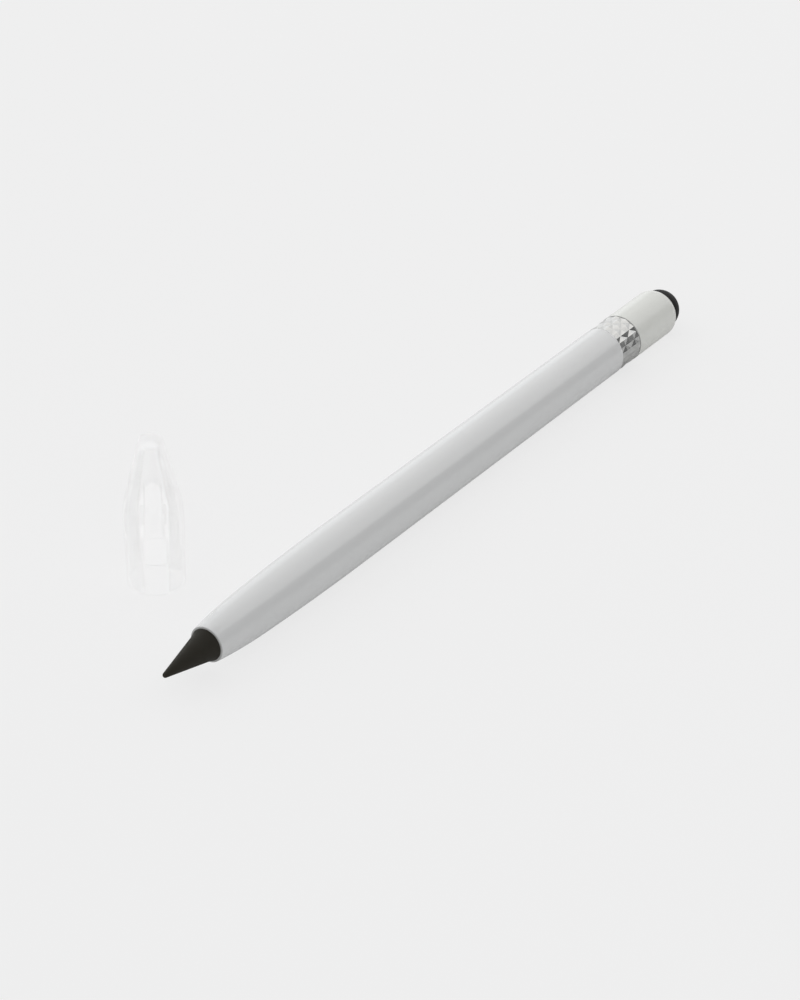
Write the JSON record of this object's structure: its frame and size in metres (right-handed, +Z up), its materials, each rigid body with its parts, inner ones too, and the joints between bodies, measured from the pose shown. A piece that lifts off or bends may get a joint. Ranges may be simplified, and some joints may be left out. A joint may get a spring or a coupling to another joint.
{
  "type": "inkless pencil",
  "caption": "Round inkless pencil with a white lacquered barrel, black screw-in nib, diamond-cut ring, rubber end and a clear cap standing beside it.",
  "frame": {"origin": "on the pencil's axis, in the middle of the barrel's straight stretch", "axes": "+X along the pencil from nib to eraser, +Z up from the table that pencil and cap lie on"},
  "size_m": [0.154, 0.0327, 0.0275],
  "materials": {
    "white_lacquer": "gloss",
    "graphite_alloy": "matte",
    "stud_steel": "satin",
    "bush_brass": "satin",
    "plug_plastic": "matte",
    "ring_metal": "polished",
    "sleeve_plastic": "gloss",
    "eraser_rubber": "matte",
    "clear_plastic": "polished"
  },
  "bodies": {
    "pencil": {"barrel": "white_lacquer", "nose_bush": "bush_brass", "tail_plug": "plug_plastic", "diamond_ring": "ring_metal", "tail_sleeve": "sleeve_plastic"},
    "nib": {"nib_cone": "graphite_alloy", "nib_stud": "stud_steel"},
    "eraser": {"eraser": "eraser_rubber"},
    "cap": {"clear_cap": "clear_plastic"}
  },
  "joints": [
    {"name": "nib_unscrew", "type": "slide", "parent": "pencil", "child": "nib", "axis": [-1, 0, 0], "range_m": [0, 0.009]},
    {"name": "eraser_pull", "type": "slide", "parent": "pencil", "child": "eraser", "axis": [1, 0, 0], "range_m": [0, 0.01]},
    {"name": "cap_lift", "type": "slide", "parent": "pencil", "child": "cap", "axis": [0, 0, 1], "range_m": [0, 0.04]}
  ]
}
